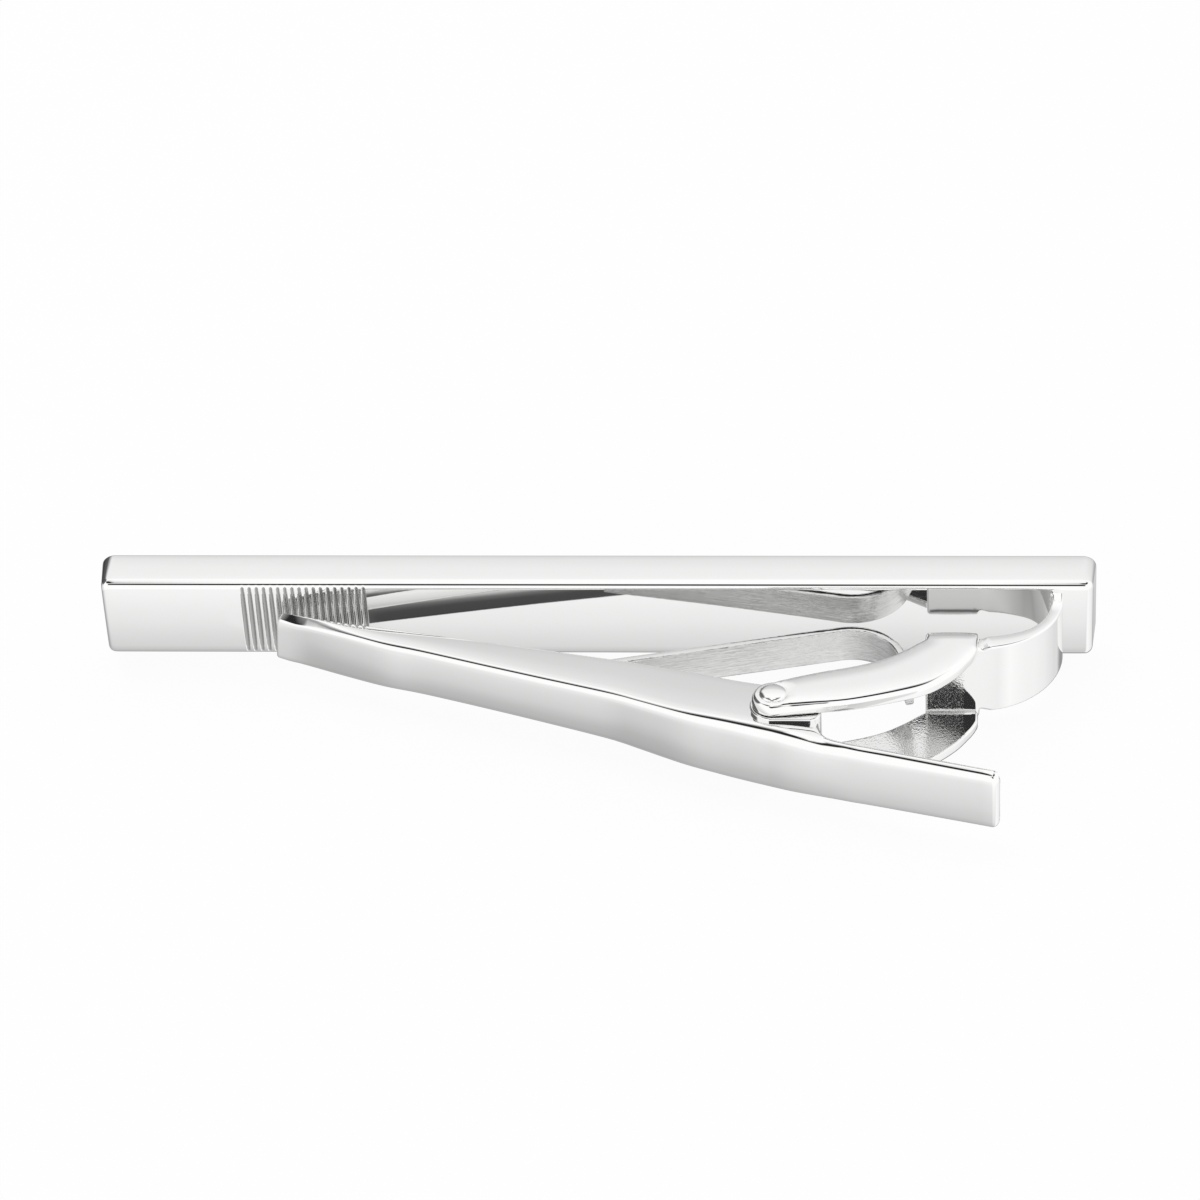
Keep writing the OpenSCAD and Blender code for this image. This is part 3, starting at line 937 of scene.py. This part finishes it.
def add_floor():
    z = CAD_BOX[0][2] - FLOOR_GAP * MM
    mesh = bpy.data.meshes.new("floor")
    half = FLOOR_HALF
    corners = [(-half, -half, z), (half, -half, z), (half, half, z), (-half, half, z)]
    mesh.from_pydata(corners, [], [(0, 1, 2, 3)])
    floor = bpy.data.objects.new("floor", mesh)
    scene.collection.objects.link(floor)
    floor.visible_glossy = False
    mat, tree, out = new_material("floor_white")
    nodes, links = tree.nodes, tree.links
    diff = nodes.new("ShaderNodeBsdfDiffuse")
    diff.inputs["Color"].default_value = (FLOOR_GREY, FLOOR_GREY, FLOOR_GREY, 1)
    glow = nodes.new("ShaderNodeEmission")
    glow.inputs["Color"].default_value = (1, 1, 1, 1)
    glow.inputs["Strength"].default_value = 1.0
    path = nodes.new("ShaderNodeLightPath")
    seen = path.outputs["Is Camera Ray"]
    for kind in ("Is Glossy Ray", "Is Transmission Ray"):
        either = nodes.new("ShaderNodeMath")
        either.operation = "MAXIMUM"
        links.new(seen, either.inputs[0])
        links.new(path.outputs[kind], either.inputs[1])
        seen = either.outputs[0]
    part = nodes.new("ShaderNodeMath")
    part.operation = "MULTIPLY"
    part.inputs[1].default_value = FLOOR_WHITE
    links.new(seen, part.inputs[0])
    mix = nodes.new("ShaderNodeMixShader")
    links.new(part.outputs[0], mix.inputs["Fac"])
    links.new(diff.outputs[0], mix.inputs[1])
    links.new(glow.outputs[0], mix.inputs[2])
    links.new(mix.outputs[0], out.inputs["Surface"])
    mesh.materials.append(mat)


add_floor()


# Studio: white light all round, with darker parts that give the polished metal its lines

# Each part: its axis, whether the ramp runs over the whole sphere (-1 to 1) instead of 0 to 1,
# and the ramp's stops over the direction's share along the axis, as (place, brightness).
OVER = ((0, -0.34, 0.94), True,
        [(0.0, 0.45), (0.045, 0.55), (0.075, 0.75), (0.12, 0.70), (0.18, 0.50), (0.25, 0.66),
         (0.29, 0.82), (0.335, 0.91), (0.37, 1.0), (0.45, 1.0)])
RIGHT_SIDE = ((0.8, -0.1, -0.6), False, [(0.45, 0.0), (0.72, 0.86), (0.86, 0.97), (1.0, 0.9)])
SIDE = ((0.8, 0, 0.6), True, [(0.05, 0.72), (0.13, 0.82), (0.17, 0.86), (0.25, 1.0)])
TURN = ((0, 0.8, -0.6), False, [(0.3, 1.0), (0.5, 0.93), (0.73, 0.75), (0.85, 0.85), (0.93, 1.0)])
CAMERA = ((-0.069, -0.773, 0.632), False, [(0.975, 1.0), (0.982, 0.03)])
CORNER = ((-0.80, 0.35, 0.48), False, [(0.86, 1.0), (0.93, 0.12)])
BEHIND = ((0, 1, 0), False, [(0.4, 1.0), (0.6, 0.95), (0.77, 0.86), (0.84, 0.70), (0.95, 0.60)])
UNDER = ((0.24, 0.50, -0.83), False, [(0.935, 1.0), (0.962, 0.30), (0.985, 0.14)])
LEFT_SIDE = ((-0.63, 0.77, -0.07), False, [(0.82, 1.0), (0.95, 0.12)])
# A dark band high up, left out in the middle and towards the bar's front.
BAND = ((0, 0, 1), False, [(0.78, 1.0), (0.83, 0.02), (0.96, 0.02), (0.98, 1.0)])
MIDDLE = ((1, 0, 0), True, [(0.40, 0), (0.435, 1), (0.50, 1), (0.53, 0)])
FRONT = ((0, 1, 0), True, [(0.45, 0.0), (0.62, 1.0)])
STUDIO_STRENGTH = 1.08


def add_studio():
    world = bpy.data.worlds.new("studio")
    scene.world = world
    world.use_nodes = True
    tree = world.node_tree
    tree.nodes.clear()
    nodes, links = tree.nodes, tree.links
    coord = nodes.new("ShaderNodeTexCoord")

    def part(axis, whole, stops):
        """Brightness of one part of the studio."""
        share = nodes.new("ShaderNodeVectorMath")
        share.operation = "DOT_PRODUCT"
        share.inputs[1].default_value = axis
        links.new(coord.outputs["Generated"], share.inputs[0])
        value = share.outputs["Value"]
        if whole:
            node = nodes.new("ShaderNodeMapRange")
            node.inputs["From Min"].default_value = -1
            node.inputs["From Max"].default_value = 1
            links.new(value, node.inputs["Value"])
            value = node.outputs["Result"]
        grey = nodes.new("ShaderNodeValToRGB")
        marks = grey.color_ramp.elements
        while len(marks) < len(stops):
            marks.new(0.5)
        for k, (pos, level) in enumerate(stops):
            marks[k].position = pos
            marks[k].color = (level, level, level, 1)
        links.new(value, grey.inputs["Fac"])
        return grey.outputs["Color"]

    def both(operation, a, b):
        node = nodes.new("ShaderNodeVectorMath")
        node.operation = operation
        links.new(a, node.inputs[0])
        links.new(b, node.inputs[1])
        return node.outputs["Vector"]

    light = both("MAXIMUM", part(*OVER), part(*RIGHT_SIDE))
    for shade in (SIDE, TURN, CAMERA, CORNER, BEHIND, UNDER, LEFT_SIDE):
        light = both("MULTIPLY", light, part(*shade))
    band = both("MAXIMUM", both("MAXIMUM", part(*BAND), part(*MIDDLE)), part(*FRONT))
    bg = nodes.new("ShaderNodeBackground")
    links.new(both("MULTIPLY", light, band), bg.inputs["Color"])
    bg.inputs["Strength"].default_value = STUDIO_STRENGTH
    out = nodes.new("ShaderNodeOutputWorld")
    links.new(bg.outputs[0], out.inputs["Surface"])


add_studio()


# Key light, a soft one from above for the shadow

KEY_SIZE = 0.3
KEY_POWER = 0.8
KEY_PLACE = (-0.15, 0.1, 0.5)

lamp = bpy.data.lights.new("key", "AREA")
lamp.size = KEY_SIZE
lamp.energy = KEY_POWER
key = bpy.data.objects.new("key", lamp)
key.location = KEY_PLACE
key.rotation_euler = (-key.location).to_track_quat("-Z", "Y").to_euler()
key.visible_glossy = False
scene.collection.objects.link(key)

scene.view_settings.view_transform = "Standard"
